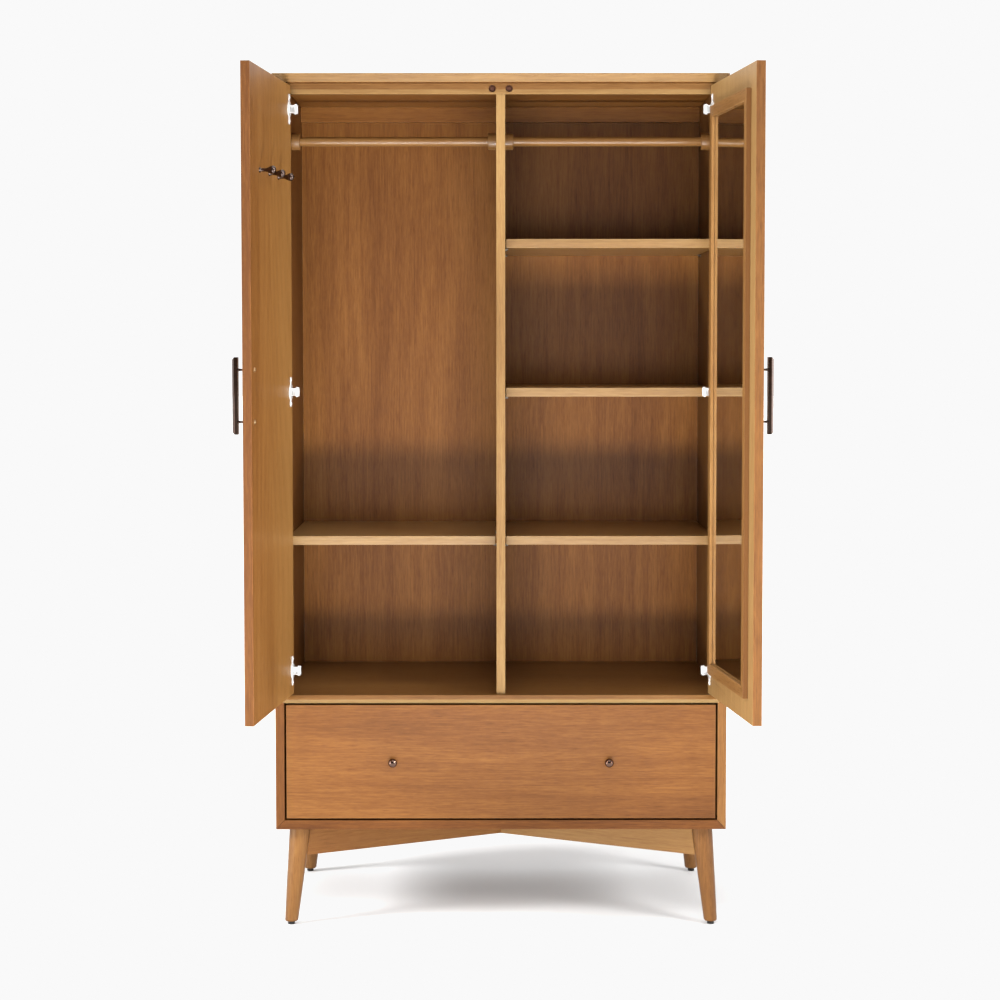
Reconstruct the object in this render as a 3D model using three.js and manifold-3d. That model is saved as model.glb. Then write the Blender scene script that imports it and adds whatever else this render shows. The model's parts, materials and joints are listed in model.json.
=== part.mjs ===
// Armoire: a tall two-door clothes cabinet with one wide drawer, on four splayed legs.
// Units are millimetres and +Z is up. The front faces -Y and the doors stand open.
// The origin is on the floor, in the middle of the footprint with the doors open.

import * as THREE from "three";
import { mergeVertices } from "three/addons/utils/BufferGeometryUtils.js";
import Module from "manifold-3d";

const wasm = await Module();
wasm.setup();

// ---- Driving dimensions -------------------------------------------------------------

const WIDTH = 1016;
const DEPTH = 610;
const HEIGHT = 1915;
const LEG_HEIGHT = 222;
const FOOTPRINT_CENTRE_Y = 67; // behind the case's front, with the doors open

const GAP = 0.3; // between pieces that touch
const MITRE_GAP = 0.45; // along the edge of a mitred corner

const CASE_BOARD = 19;
const EDGE_LAND = 2; // flat left on the front edge, outside the bevel
const BEVEL_DEPTH = 8;
const DIVIDER_BOARD = 18;
const DIVIDER_HEIGHT = 517; // of its ridge above the floor
const DIVIDER_LAND = 0.8;
const PARTITION_BOARD = 20;
const PARTITION_SETBACK = 30;
const BACK_PANEL_BOARD = 8;
const BACK_PANEL_INSET = 6;
const RAIL_BOARD = 20;
const STOP_RAIL_HEIGHT = 24;
const BACK_RAIL_HEIGHT = 37;
const CATCH_RADIUS = 8;
const CATCH_DEPTH = 12;
const CATCH_FROM_CENTRE = 18.8;

const SHELF_BOARD = 20;
const SHELF_SETBACK = 118;
const SHELF_END_GAP = 2.5;
const SHELF_BACK_GAP = 3;
const SHELF_TOPS = { lower: 877, middle: 1216, upper: 1554 };

const ROD_RADIUS = 11;
const ROD_HEIGHT = 1789;
const ROD_DEPTH = 305;
const SOCKET_RADIUS = 20;
const SOCKET_LENGTH = 20;
const SOCKET_FLOOR = 6;
const SOCKET_CHAMFER = 1.5;

const DOOR_BOARD = 19;
const DOOR_WIDTH = 483.7;
const DOOR_BOTTOM = 531;
const DOOR_TOP = 1888;
const DOOR_INSET = BEVEL_DEPTH;
const HINGE_LINE = 485.2; // from the cabinet's middle to each door's turning corner
const LEFT_OPENING = 95; // degrees open
const RIGHT_OPENING = 96;

const HINGE_INSET = 54; // from a door's top and bottom edges
const CUP_RADIUS = 17.2;
const CUP_CENTRE = 21.5; // from the door's hinge edge
const CUP_DEPTH = 11;
const CUP_CLEARANCE = 0.4;
const FLANGE_HEIGHT = 66;
const FLANGE_EAR = 14;
const FLANGE_THICKNESS = 2;
const LINK_NEAR = 9;
const LINK_FAR = 26;
const LINK_REACH = 18;
const LINK_HALF_HEIGHT = 8;
const LINK_FLARE = 2.5;
const ARM_HEIGHT = 15;
const ARM_THICKNESS = 10.5;
const ARM_FRONT = 32;
const ARM_BACK = 92;
const ARM_NOSE = { depth: 8, reach: 8 }; // the sloping front end
const ARM_TAIL = { depth: 10, reach: 3 }; // the sloping back end

const HANDLE_FROM_FREE_EDGE = 32;
const HANDLE_LENGTH = 159;
const HANDLE_WIDTH = 15;
const HANDLE_DEPTH = 12;
const HANDLE_GAP = 15;
const HANDLE_CHAMFER = 5; // all round the outer face
const HANDLE_POST_RADIUS = 2.4;
const HANDLE_POST_SPACING = 107;

const PEG_HEIGHT = 1675;
const PEG_FROM_HINGE_EDGE = [163.5, 272.3, 381]; // metal pegs for coats and bags
const PEG_LENGTH = 35;
const PEG_STEM_RADIUS = 3.7;
const PEG_HEAD_RADIUS = 8.8;
const PEG_BASE = { radius: 5, edge: 1.2, height: 2.4 };
const PEG_CONE = { start: 3, radius: 6.9, end: 4.4 }; // start and end are in front of the ball
const PEG_STEPS = 6;

const MIRROR_MARGIN = 50; // from the frame to the door's free edge, top and bottom
const MIRROR_HINGE_MARGIN = 42;
const MIRROR_FRAME_FACE = 24;
const MIRROR_FRAME_THICKNESS = 10;
const MIRROR_REBATE = 8.3;
const MIRROR_GLASS = 3;
const MIRROR_GLASS_COVERED = 8;

const DRAWER_REVEAL = 4.5; // gap round the drawer's front
const DRAWER_SIDE_BOARD = 14;
const DRAWER_SIDE_GAP = 3;
const DRAWER_SIDE_TOP = 498;
const DRAWER_BACK_Y = 560;
const DRAWER_FLOOR_BOARD = 6;
const DRAWER_FLOOR_RAISE = 12;
const DRAWER_RUN_GAP = 0.8;
const KNOB_FROM_CENTRE = 243.8;
const KNOB_RADIUS = 10.3;
const KNOB_STEM_RADIUS = 5;
const KNOB_STEM = 8;
const KNOB_BASE = { radius: 6, height: 1.5 };
const KNOB_STEPS = 9;

const LEG_TOP = { x: 457, y: 47, radius: 24 };
const LEG_FOOT = { x: 476.5, y: 25, radius: 15 };
const LEG_FOOT_CHAMFER = 2.5;
const GLIDE_RADIUS = 8;
const GLIDE_HEIGHT = 8;
const STRETCHER_HEIGHT = 68;
const STRETCHER_BOARD = 20;

const ROUND = 24; // sides on a round piece

// ---- Worked-out dimensions ----------------------------------------------------------

const HALF = WIDTH / 2;
const INSIDE = HALF - CASE_BOARD;
const CEILING = HEIGHT - CASE_BOARD;
const CASE_FLOOR = LEG_HEIGHT + CASE_BOARD;
const DIVIDER_TOP = DIVIDER_HEIGHT + DIVIDER_BOARD / 2;
const DIVIDER_UNDERSIDE = DIVIDER_HEIGHT - DIVIDER_BOARD / 2;
const BACK_PANEL_BACK = DEPTH - BACK_PANEL_INSET;
const BACK_PANEL_FRONT = BACK_PANEL_BACK - BACK_PANEL_BOARD;
const BACK_RAIL_FRONT = BACK_PANEL_FRONT - RAIL_BOARD;
const STOP_RAIL_BACK = PARTITION_SETBACK + RAIL_BOARD;
const HALF_PARTITION = PARTITION_BOARD / 2;
const DOOR_MIDDLE = (DOOR_TOP + DOOR_BOTTOM) / 2;
const HINGE_HEIGHTS = {
  top: DOOR_TOP - HINGE_INSET,
  middle: DOOR_MIDDLE,
  bottom: DOOR_BOTTOM + HINGE_INSET,
};
const radians = THREE.MathUtils.degToRad;

// ---- Materials ----------------------------------------------------------------------

const standard = (color, roughness, metalness) =>
  new THREE.MeshStandardMaterial({ color, roughness, metalness });

const boardWood = standard(0xb27a48, 0.5, 0);
const backWood = standard(0x9c6639, 0.6, 0);
const legWood = standard(0xb98350, 0.45, 0);
const darkBronze = standard(0x33241c, 0.35, 0.85);
const knobBronze = standard(0x8d5f42, 0.35, 0.85);
const plated = standard(0xd8d8d4, 0.3, 0.8);
const silvered = standard(0xdfe5e8, 0.05, 1);
const blackPlastic = standard(0x1b1a19, 0.6, 0);

// ---- Geometry helpers ---------------------------------------------------------------

// A box between two corners, given as three pairs of limits in any order.
function box([x0, x1], [y0, y1], [z0, z1]) {
  const geometry = new THREE.BoxGeometry(
    Math.abs(x1 - x0),
    Math.abs(y1 - y0),
    Math.abs(z1 - z0),
  );
  return geometry.translate((x0 + x1) / 2, (y0 + y1) / 2, (z0 + z1) / 2);
}

// The points of a round section, level with the floor.
function circle(x, y, z, radius) {
  const points = [];
  for (let i = 0; i < ROUND; i++) {
    const angle = (i / ROUND) * 2 * Math.PI;
    points.push([x + radius * Math.cos(angle), y + radius * Math.sin(angle), z]);
  }
  return points;
}

// A closed solid through rings with the same number of points. Each end is closed by
// a fan from the ring's first point, so that point has to see the whole ring.
function loft(rings) {
  const count = rings[0].length;
  const last = (rings.length - 1) * count;
  const index = [];
  for (let ring = 0; ring < last; ring += count) {
    for (let i = 0; i < count; i++) {
      const a = ring + i;
      const b = ring + ((i + 1) % count);
      index.push(a, b, b + count, a, b + count, a + count);
    }
  }
  for (let i = 1; i < count - 1; i++) {
    index.push(0, i + 1, i, last, last + i, last + i + 1);
  }
  return outward(rings.flat(2), index);
}

// A geometry from corner coordinates and triangles, turned so that its faces point out.
function outward(coordinates, index) {
  const corner = (i) => new THREE.Vector3().fromArray(coordinates, 3 * i);
  let volume = 0;
  for (let i = 0; i < index.length; i += 3) {
    const normal = corner(index[i + 1]).cross(corner(index[i + 2]));
    volume += corner(index[i]).dot(normal);
  }
  const geometry = new THREE.BufferGeometry();
  geometry.setAttribute("position", new THREE.Float32BufferAttribute(coordinates, 3));
  geometry.setIndex(volume < 0 ? index.reverse() : index);
  geometry.computeVertexNormals();
  return geometry;
}

// A solid of revolution about +Y, from a profile of [radius, height] points.
function turned(profile) {
  const points = profile.map(([radius, height]) => new THREE.Vector2(radius, height));
  return new THREE.LatheGeometry(points, ROUND);
}

// A cylinder along +Y from one height to another.
function rod(radius, from, to) {
  const geometry = new THREE.CylinderGeometry(radius, radius, to - from, ROUND);
  return geometry.translate(0, (from + to) / 2, 0);
}

// A flat outline of [x, y] points, thickened along +Z.
function plate(outline, thickness) {
  const shape = new THREE.Shape(outline.map(([x, y]) => new THREE.Vector2(x, y)));
  return new THREE.ExtrudeGeometry(shape, { depth: thickness, bevelEnabled: false });
}

function solidOf(geometry) {
  const bare = geometry.clone();
  bare.deleteAttribute("normal");
  bare.deleteAttribute("uv");
  const merged = mergeVertices(bare, 1e-4);
  return new wasm.Manifold(
    new wasm.Mesh({
      numProp: 3,
      vertProperties: merged.attributes.position.array,
      triVerts: new Uint32Array(merged.index.array),
    }),
  );
}

function geometryOf(solid) {
  const mesh = solid.getMesh();
  const geometry = new THREE.BufferGeometry();
  geometry.setAttribute("position", new THREE.BufferAttribute(mesh.vertProperties, 3));
  geometry.setIndex(new THREE.BufferAttribute(mesh.triVerts, 1));
  geometry.computeVertexNormals();
  return geometry;
}

function cut(geometry, ...cutters) {
  const left = (solid, cutter) => solid.subtract(solidOf(cutter));
  return geometryOf(cutters.reduce(left, solidOf(geometry)));
}

function join(...geometries) {
  const together = (solid, next) => solid.add(next);
  return geometryOf(geometries.map(solidOf).reduce(together));
}

// ---- Scene graph --------------------------------------------------------------------

const armoire = new THREE.Group();
const cabinet = new THREE.Group(); // the case's front plane is this group's y = 0
cabinet.position.y = -FOOTPRINT_CENTRE_Y;
armoire.add(cabinet);

function add(parent, name, geometry, material) {
  const mesh = new THREE.Mesh(geometry, material);
  mesh.name = name;
  parent.add(mesh);
  return mesh;
}

// ---- Case ---------------------------------------------------------------------------

// How far each section of a case board reaches in from the outer edge, front to back.
const BOARD_SECTIONS = [
  { y: 0, reach: EDGE_LAND },
  { y: BEVEL_DEPTH, reach: CASE_BOARD },
  { y: DEPTH, reach: CASE_BOARD },
];

// A level board, mitred at both ends. The way in from its outer face is up or down.
function levelBoard(outerFace, inwards) {
  return loft(
    BOARD_SECTIONS.map(({ y, reach }) => [
      [-HALF, y, outerFace],
      [HALF, y, outerFace],
      [HALF - reach, y, outerFace + inwards * reach],
      [-HALF + reach, y, outerFace + inwards * reach],
    ]),
  );
}

// An upright board on one side, mitred at both ends.
function uprightBoard(side) {
  return loft(
    BOARD_SECTIONS.map(({ y, reach }) => [
      [side * HALF, y, LEG_HEIGHT + MITRE_GAP],
      [side * HALF, y, HEIGHT - MITRE_GAP],
      [side * (HALF - reach), y, HEIGHT - reach - MITRE_GAP],
      [side * (HALF - reach), y, LEG_HEIGHT + reach + MITRE_GAP],
    ]),
  );
}

// The board between the doors and the drawer, with a ridge along its front edge.
function dividerBoard() {
  const ridge = { y: 0, reach: EDGE_LAND, half: DIVIDER_LAND / 2 };
  const front = { y: BEVEL_DEPTH, reach: CASE_BOARD, half: DIVIDER_BOARD / 2 };
  const back = { ...front, y: BACK_PANEL_FRONT - GAP };
  return loft(
    [ridge, front, back].map(({ y, reach, half }) => {
      const end = HALF - reach - MITRE_GAP;
      return [
        [-end, y, DIVIDER_HEIGHT - half],
        [end, y, DIVIDER_HEIGHT - half],
        [end, y, DIVIDER_HEIGHT + half],
        [-end, y, DIVIDER_HEIGHT + half],
      ];
    }),
  );
}

// The upright partition, notched over the stop rail and over the back rail.
function partitionBoard() {
  const foot = DIVIDER_TOP + GAP;
  const top = CEILING - GAP;
  const outline = [
    [PARTITION_SETBACK, foot],
    [BACK_PANEL_FRONT - GAP, foot],
    [BACK_PANEL_FRONT - GAP, CEILING - BACK_RAIL_HEIGHT - GAP],
    [BACK_RAIL_FRONT - GAP, CEILING - BACK_RAIL_HEIGHT - GAP],
    [BACK_RAIL_FRONT - GAP, top],
    [STOP_RAIL_BACK + GAP, top],
    [STOP_RAIL_BACK + GAP, CEILING - STOP_RAIL_HEIGHT - GAP],
    [PARTITION_SETBACK, CEILING - STOP_RAIL_HEIGHT - GAP],
  ];
  const geometry = plate(outline, PARTITION_BOARD);
  geometry.rotateX(Math.PI / 2).rotateZ(Math.PI / 2);
  return geometry.translate(-HALF_PARTITION, 0, 0);
}

// The rail that the doors close against, bored for two round catches.
function stopRail() {
  const rail = box(
    [-INSIDE + GAP, INSIDE - GAP],
    [PARTITION_SETBACK, STOP_RAIL_BACK],
    [CEILING - STOP_RAIL_HEIGHT, CEILING - GAP],
  );
  const bores = [-CATCH_FROM_CENTRE, CATCH_FROM_CENTRE].map((x) =>
    rod(CATCH_RADIUS, PARTITION_SETBACK - 1, PARTITION_SETBACK + CATCH_DEPTH).translate(
      x,
      0,
      CEILING - STOP_RAIL_HEIGHT / 2,
    ),
  );
  return cut(rail, ...bores);
}

const acrossInside = [-INSIDE + GAP, INSIDE - GAP];

add(cabinet, "case_top", levelBoard(HEIGHT, -1), boardWood);
add(cabinet, "case_bottom", levelBoard(LEG_HEIGHT, 1), boardWood);
add(cabinet, "case_left_side", uprightBoard(-1), boardWood);
add(cabinet, "case_right_side", uprightBoard(1), boardWood);
add(cabinet, "compartment_floor", dividerBoard(), boardWood);
add(cabinet, "centre_partition", partitionBoard(), boardWood);
add(cabinet, "top_stop_rail", stopRail(), boardWood);
add(
  cabinet,
  "back_panel",
  box(acrossInside, [BACK_PANEL_FRONT, BACK_PANEL_BACK], [CASE_FLOOR + GAP, CEILING - GAP]),
  backWood,
);
add(
  cabinet,
  "back_top_rail",
  box(
    acrossInside,
    [BACK_RAIL_FRONT, BACK_PANEL_FRONT - GAP],
    [CEILING - BACK_RAIL_HEIGHT, CEILING - GAP],
  ),
  boardWood,
);

// ---- Shelves and hanging rods -------------------------------------------------------

function shelf(side, top) {
  return box(
    [side * (HALF_PARTITION + SHELF_END_GAP), side * (INSIDE - SHELF_END_GAP)],
    [SHELF_SETBACK, BACK_PANEL_FRONT - SHELF_BACK_GAP],
    [top - SHELF_BOARD, top],
  );
}

add(cabinet, "left_shelf", shelf(-1, SHELF_TOPS.lower), boardWood);
for (const [level, top] of Object.entries(SHELF_TOPS)) {
  add(cabinet, `right_shelf_${level}`, shelf(1, top), boardWood);
}

const SOCKET_PROFILE = [
  [0, GAP],
  [SOCKET_RADIUS, GAP],
  [SOCKET_RADIUS, SOCKET_LENGTH - SOCKET_CHAMFER],
  [SOCKET_RADIUS - SOCKET_CHAMFER, SOCKET_LENGTH],
  [ROD_RADIUS + 0.5, SOCKET_LENGTH],
  [ROD_RADIUS + 0.5, SOCKET_FLOOR],
  [0, SOCKET_FLOOR],
];

// A cup for a rod's end, on a wall whose free face looks along +X or -X.
function addSocket(name, wall, facing) {
  const socket = add(cabinet, name, turned(SOCKET_PROFILE), boardWood);
  socket.position.set(wall, ROD_DEPTH, ROD_HEIGHT);
  socket.rotation.z = (-facing * Math.PI) / 2;
}

for (const [bay, side] of [["left", -1], ["right", 1]]) {
  const nearEnd = HALF_PARTITION + SOCKET_FLOOR + 2 * GAP;
  const farEnd = INSIDE - SOCKET_FLOOR - 2 * GAP;
  const hangingRod = add(cabinet, `${bay}_rod`, rod(ROD_RADIUS, nearEnd, farEnd), boardWood);
  hangingRod.position.set(0, ROD_DEPTH, ROD_HEIGHT);
  hangingRod.rotation.z = (-side * Math.PI) / 2;
  addSocket(`${bay}_rod_outer_socket`, side * INSIDE, -side);
  addSocket(`${bay}_rod_inner_socket`, side * HALF_PARTITION, side);
}

// ---- Base ---------------------------------------------------------------------------

// A tapered round leg that leans outwards, grown by a clearance where one is given.
function leg(x, y, clearance = 0) {
  const chamferTop = GLIDE_HEIGHT + LEG_FOOT_CHAMFER;
  const ring = (height, radius) => {
    const rise = (height - GLIDE_HEIGHT) / (LEG_HEIGHT - GLIDE_HEIGHT);
    const lean = (foot, top) => foot + (top - foot) * rise;
    const out = lean(LEG_FOOT.x, LEG_TOP.x);
    const inset = lean(LEG_FOOT.y, LEG_TOP.y);
    const at = { x: x * out, y: y < 0 ? inset : DEPTH - inset };
    return circle(at.x, at.y, height, radius + clearance);
  };
  return loft([
    ring(GLIDE_HEIGHT, LEG_FOOT.radius - LEG_FOOT_CHAMFER),
    ring(chamferTop, LEG_FOOT.radius),
    ring(LEG_HEIGHT - GAP + clearance, LEG_TOP.radius),
  ]);
}

const CORNERS = [
  { name: "front_left", x: -1, y: -1 },
  { name: "front_right", x: 1, y: -1 },
  { name: "back_left", x: -1, y: 1 },
  { name: "back_right", x: 1, y: 1 },
];

for (const { name, x, y } of CORNERS) {
  add(cabinet, `${name}_leg`, leg(x, y), legWood);
  const glide = rod(GLIDE_RADIUS, 0, GLIDE_HEIGHT - GAP).rotateX(Math.PI / 2);
  const foot = add(cabinet, `${name}_glide`, glide, blackPlastic);
  foot.position.set(x * LEG_FOOT.x, y < 0 ? LEG_FOOT.y : DEPTH - LEG_FOOT.y, 0);
}

const STRETCHER_BOTTOM = LEG_HEIGHT - STRETCHER_HEIGHT;
const STRETCHER_MIDDLE = LEG_HEIGHT - STRETCHER_HEIGHT / 2;
const halfBack = DEPTH / 2 - LEG_TOP.y;
const STRETCHER_ANGLE = Math.atan2(halfBack, LEG_TOP.x);
const STRETCHER_HALF_LENGTH = Math.hypot(halfBack, LEG_TOP.x);

// A board on edge across the base, from one corner to the opposite one.
function diagonal(turn, thickness, bottom, top) {
  const half = thickness / 2;
  const board = box(
    [-STRETCHER_HALF_LENGTH, STRETCHER_HALF_LENGTH],
    [-half, half],
    [bottom, top],
  );
  return board.rotateZ(turn * STRETCHER_ANGLE).translate(0, DEPTH / 2, 0);
}

// The stretchers are halved over each other, and their ends are coped to the legs.
function stretcher(turn, notchBottom, notchTop) {
  const board = diagonal(turn, STRETCHER_BOARD, STRETCHER_BOTTOM, LEG_HEIGHT - GAP);
  const notch = diagonal(-turn, STRETCHER_BOARD + 2 * GAP, notchBottom, notchTop);
  return cut(board, notch, leg(-1, -turn, GAP), leg(1, turn, GAP));
}

add(
  cabinet,
  "stretcher_front_left_to_back_right",
  stretcher(1, STRETCHER_MIDDLE - GAP / 2, LEG_HEIGHT + 1),
  boardWood,
);
add(
  cabinet,
  "stretcher_front_right_to_back_left",
  stretcher(-1, STRETCHER_BOTTOM - 1, STRETCHER_MIDDLE + GAP / 2),
  boardWood,
);

// ---- Doors --------------------------------------------------------------------------

// Each door has a group at its turning corner. Along x it runs from the hinge edge to
// the free edge, times the way the closed door runs (run = 1 on the left, -1 on the
// right). Its outer face is at y = 0 and its inner face at y = DOOR_BOARD.
function addDoor(side, opening) {
  const door = new THREE.Group();
  door.position.set(side * HINGE_LINE, DOOR_INSET, 0);
  door.rotation.z = side * radians(opening);
  cabinet.add(door);
  return door;
}

// A door board, bored for its hinge cups.
function doorPanel(run) {
  const board = box([0, run * DOOR_WIDTH], [0, DOOR_BOARD], [DOOR_BOTTOM, DOOR_TOP]);
  const boreFloor = DOOR_BOARD - CUP_DEPTH - CUP_CLEARANCE;
  const bores = Object.values(HINGE_HEIGHTS).map((height) =>
    rod(CUP_RADIUS + CUP_CLEARANCE, boreFloor, DOOR_BOARD + 1).translate(
      run * CUP_CENTRE,
      0,
      height,
    ),
  );
  return cut(board, ...bores);
}

// The door half of a concealed hinge: a cup, its flange and the end of the link.
function hingeCup(run) {
  const face = DOOR_BOARD + GAP;
  const flangeTop = face + FLANGE_THICKNESS;
  const linkTop = DOOR_BOARD + LINK_REACH;
  const middle = run * CUP_CENTRE;
  const cup = rod(CUP_RADIUS, DOOR_BOARD - CUP_DEPTH, flangeTop).translate(middle, 0, 0);
  const flange = box(
    [middle - FLANGE_EAR / 2, middle + FLANGE_EAR / 2],
    [face, flangeTop],
    [-FLANGE_HEIGHT / 2, FLANGE_HEIGHT / 2],
  );
  const flareStart = (flangeTop + linkTop) / 2;
  const section = (y, half) => [
    [run * LINK_NEAR, y, -half],
    [run * LINK_FAR, y, -half],
    [run * LINK_FAR, y, half],
    [run * LINK_NEAR, y, half],
  ];
  const link = loft([
    section(face, LINK_HALF_HEIGHT),
    section(flareStart, LINK_HALF_HEIGHT),
    section(linkTop, LINK_HALF_HEIGHT + LINK_FLARE),
  ]);
  return join(cup, flange, link);
}

// The case half of a concealed hinge: an arm along the side board.
function hingeArm(side) {
  const wall = INSIDE - GAP;
  const outline = [
    [wall, ARM_FRONT],
    [wall, ARM_BACK],
    [wall - ARM_TAIL.reach, ARM_BACK],
    [wall - ARM_THICKNESS, ARM_BACK - ARM_TAIL.depth],
    [wall - ARM_THICKNESS, ARM_FRONT + ARM_NOSE.depth],
    [wall - ARM_NOSE.reach, ARM_FRONT],
  ];
  const rings = [-ARM_HEIGHT / 2, ARM_HEIGHT / 2].map((z) =>
    outline.map(([x, y]) => [side * x, y, z]),
  );
  return loft(rings);
}

// A bar handle on two posts, on the outer face. The bar's outer face is chamfered all
// round.
function handle() {
  const inner = -HANDLE_GAP;
  const outer = inner - HANDLE_DEPTH;
  const section = (y, inset) => {
    const across = HANDLE_WIDTH / 2 - inset;
    const along = HANDLE_LENGTH / 2 - inset;
    return [
      [-across, y, -along],
      [across, y, -along],
      [across, y, along],
      [-across, y, along],
    ];
  };
  const bar = loft([
    section(inner, 0),
    section(outer + HANDLE_CHAMFER, 0),
    section(outer, HANDLE_CHAMFER),
  ]);
  const posts = [-0.5, 0.5].map((share) =>
    rod(HANDLE_POST_RADIUS, inner - HANDLE_DEPTH / 2, -GAP).translate(
      0,
      0,
      share * HANDLE_POST_SPACING,
    ),
  );
  return join(bar, ...posts);
}

// Shared fittings: the hinges and the handle.
function fitDoor(door, name, side) {
  const run = -side;
  add(door, `${name}_door_panel`, doorPanel(run), boardWood);
  for (const [level, height] of Object.entries(HINGE_HEIGHTS)) {
    const cup = add(door, `${name}_hinge_cup_${level}`, hingeCup(run), plated);
    cup.position.z = height;
    const arm = add(cabinet, `${name}_hinge_arm_${level}`, hingeArm(side), plated);
    arm.position.z = height;
  }
  const grip = add(door, `${name}_door_handle`, handle(), darkBronze);
  grip.position.set(run * (DOOR_WIDTH - HANDLE_FROM_FREE_EDGE), 0, DOOR_MIDDLE);
}

// A coat peg: a stem that flares into a round head.
function pegProfile() {
  const centre = PEG_LENGTH - PEG_HEAD_RADIUS;
  const neck = centre - PEG_HEAD_RADIUS;
  const profile = [
    [0, 0],
    [PEG_BASE.radius, 0],
    [PEG_BASE.radius, PEG_BASE.edge],
    [PEG_STEM_RADIUS, PEG_BASE.height],
    [PEG_STEM_RADIUS, neck - PEG_CONE.start],
    [PEG_CONE.radius, centre - PEG_CONE.end],
  ];
  for (let i = 0; i < PEG_STEPS; i++) {
    const angle = ((i / PEG_STEPS) * Math.PI) / 2;
    const height = centre + PEG_HEAD_RADIUS * Math.sin(angle);
    profile.push([PEG_HEAD_RADIUS * Math.cos(angle), height]);
  }
  profile.push([0, PEG_LENGTH]);
  return profile;
}

const leftDoor = addDoor(-1, LEFT_OPENING);
fitDoor(leftDoor, "left", -1);
PEG_FROM_HINGE_EDGE.forEach((distance, i) => {
  const peg = add(leftDoor, `coat_peg_${i + 1}`, turned(pegProfile()), darkBronze);
  peg.position.set(distance, DOOR_BOARD + GAP, PEG_HEIGHT);
});

const rightDoor = addDoor(1, RIGHT_OPENING);
fitDoor(rightDoor, "right", 1);

// The mirror's frame, measured along x from the right door's hinge edge.
const FRAME = {
  near: -MIRROR_HINGE_MARGIN,
  far: -(DOOR_WIDTH - MIRROR_MARGIN),
  bottom: DOOR_BOTTOM + MIRROR_MARGIN,
  top: DOOR_TOP - MIRROR_MARGIN,
};

// A frame bar's section as [distance in from the frame's outer edge, height over the
// door]. The first point is the inner corner of the rebate that holds the glass.
const BAR_SECTION = [
  [MIRROR_FRAME_FACE - MIRROR_REBATE, MIRROR_GLASS + 2 * GAP],
  [MIRROR_FRAME_FACE, MIRROR_GLASS + 2 * GAP],
  [MIRROR_FRAME_FACE, MIRROR_FRAME_THICKNESS + GAP],
  [0, MIRROR_FRAME_THICKNESS + GAP],
  [0, GAP],
  [MIRROR_FRAME_FACE - MIRROR_REBATE, GAP],
];

// An upright bar, whose ends are mitred.
function frameStile(outerX, inwards) {
  const end = (z, up) =>
    BAR_SECTION.map(([into, over]) => [
      outerX + inwards * into,
      DOOR_BOARD + over,
      z + up * (into + MITRE_GAP),
    ]);
  return loft([end(FRAME.bottom, 1), end(FRAME.top, -1)]);
}

// A level bar, whose ends are mitred.
function frameRail(outerZ, inwards) {
  const end = (x, along) =>
    BAR_SECTION.map(([into, over]) => [
      x + along * into,
      DOOR_BOARD + over,
      outerZ + inwards * into,
    ]);
  return loft([end(FRAME.near, -1), end(FRAME.far, 1)]);
}

add(rightDoor, "mirror_frame_hinge_stile", frameStile(FRAME.near, -1), boardWood);
add(rightDoor, "mirror_frame_free_stile", frameStile(FRAME.far, 1), boardWood);
add(rightDoor, "mirror_frame_top_rail", frameRail(FRAME.top, -1), boardWood);
add(rightDoor, "mirror_frame_bottom_rail", frameRail(FRAME.bottom, 1), boardWood);

const glassInset = MIRROR_FRAME_FACE - MIRROR_GLASS_COVERED;
add(
  rightDoor,
  "mirror_glass",
  box(
    [FRAME.near - glassInset, FRAME.far + glassInset],
    [DOOR_BOARD + GAP, DOOR_BOARD + GAP + MIRROR_GLASS],
    [FRAME.bottom + glassInset, FRAME.top - glassInset],
  ),
  silvered,
);

// ---- Drawer -------------------------------------------------------------------------

const drawer = new THREE.Group(); // slides along -Y
cabinet.add(drawer);

const frontHalf = INSIDE - DRAWER_REVEAL;
const frontBottom = CASE_FLOOR + DRAWER_REVEAL;
const frontTop = DIVIDER_UNDERSIDE - DRAWER_REVEAL;
const frontBack = DOOR_INSET + DOOR_BOARD;
const sideOuter = INSIDE - DRAWER_SIDE_GAP;
const sideInner = sideOuter - DRAWER_SIDE_BOARD;
const drawerFloor = CASE_FLOOR + DRAWER_FLOOR_RAISE;
const floorTop = drawerFloor + DRAWER_FLOOR_BOARD;
const backFront = DRAWER_BACK_Y - DRAWER_SIDE_BOARD;
const betweenSides = [-sideInner + GAP, sideInner - GAP];

add(
  drawer,
  "drawer_front",
  box([-frontHalf, frontHalf], [DOOR_INSET, frontBack], [frontBottom, frontTop]),
  boardWood,
);
for (const [name, side] of [["left", -1], ["right", 1]]) {
  add(
    drawer,
    `drawer_${name}_side`,
    box(
      [side * sideInner, side * sideOuter],
      [frontBack + GAP, DRAWER_BACK_Y],
      [CASE_FLOOR + DRAWER_RUN_GAP, DRAWER_SIDE_TOP],
    ),
    boardWood,
  );
}
add(
  drawer,
  "drawer_back",
  box(betweenSides, [backFront, DRAWER_BACK_Y], [floorTop + GAP, DRAWER_SIDE_TOP]),
  boardWood,
);
add(
  drawer,
  "drawer_floor",
  box(betweenSides, [frontBack + GAP, DRAWER_BACK_Y], [drawerFloor, floorTop]),
  backWood,
);

// A ball knob on a short stem.
function knobProfile() {
  const start = Math.asin(KNOB_STEM_RADIUS / KNOB_RADIUS);
  const centre = KNOB_STEM + KNOB_RADIUS * Math.cos(start);
  const profile = [
    [0, 0],
    [KNOB_BASE.radius, 0],
    [KNOB_STEM_RADIUS, KNOB_BASE.height],
  ];
  for (let i = 0; i < KNOB_STEPS; i++) {
    const angle = start + ((Math.PI - start) * i) / KNOB_STEPS;
    const height = centre - KNOB_RADIUS * Math.cos(angle);
    profile.push([KNOB_RADIUS * Math.sin(angle), height]);
  }
  profile.push([0, centre + KNOB_RADIUS]);
  return profile;
}

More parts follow.
